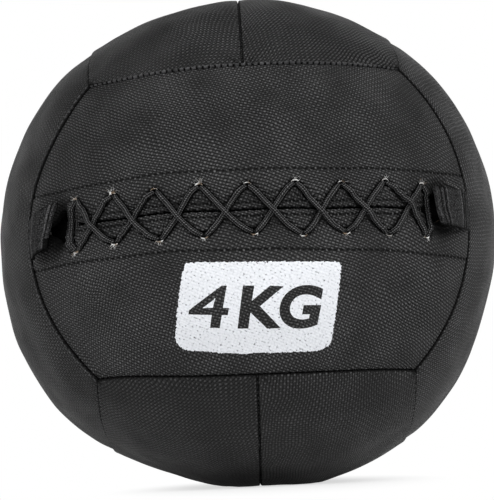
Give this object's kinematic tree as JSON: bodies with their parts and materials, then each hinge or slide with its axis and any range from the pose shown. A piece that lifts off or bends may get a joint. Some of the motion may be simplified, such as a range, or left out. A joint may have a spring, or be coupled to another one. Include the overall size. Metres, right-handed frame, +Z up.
{
  "type": "wall ball",
  "caption": "Large soft laced training ball with sewn cover panels, a crossed lace, doubled end tabs, foam and fibre padding and a sand weight.",
  "frame": {"origin": "centre of the ball's footprint on what it rests on", "axes": "+Z up, -Y out of the laced front, +X to the right of someone who faces the front"},
  "size_m": [0.3506, 0.3533, 0.3458],
  "materials": {
    "cover": "embossed matt",
    "facing": "raw fleecy backing",
    "tongue": "matt",
    "lace": "braided",
    "strap": "woven webbing",
    "foam": "open foam",
    "fibre": "loose fibre",
    "bag_cloth": "plain weave",
    "sand": "granular",
    "tie": "cord"
  },
  "bodies": {
    "ball": {"front_upper_panel": "cover", "front_lower_panel": "cover", "back_upper_panel": "cover", "back_lower_panel": "cover", "top_left_panel": "cover", "top_right_panel": "cover", "bottom_left_panel": "cover", "bottom_right_panel": "cover", "left_front_panel": "cover", "left_back_panel": "cover", "right_front_panel": "cover", "right_back_panel": "cover", "front_upper_foam": "foam", "front_lower_foam": "foam", "back_upper_foam": "foam", "back_lower_foam": "foam", "top_left_foam": "foam", "top_right_foam": "foam", "bottom_left_foam": "foam", "bottom_right_foam": "foam", "left_front_foam": "foam", "left_back_foam": "foam", "right_front_foam": "foam", "right_back_foam": "foam", "front_upper_lace_facing": "facing", "front_lower_lace_facing": "facing", "lace_tongue": "tongue", "lace": "lace", "weight_bag": "bag_cloth", "weight_sand": "sand", "bag_tie": "tie", "back_padding": "fibre", "front_padding": "fibre"},
    "left_tab": {"left_end_tab": "strap"},
    "right_tab": {"right_end_tab": "strap"}
  },
  "joints": [
    {"name": "left_tab_lift", "type": "hinge", "parent": "ball", "child": "left_tab", "pos_m": [-0.14523, -0.10269, 0.1693], "axis": [0, 0, -1], "range_deg": [-6, 66], "stiffness_Nm_per_rad": 0.01},
    {"name": "right_tab_lift", "type": "hinge", "parent": "ball", "child": "right_tab", "pos_m": [0.14521, -0.10268, 0.17429], "axis": [0, 0, 1], "range_deg": [-2, 71], "stiffness_Nm_per_rad": 0.01}
  ]
}
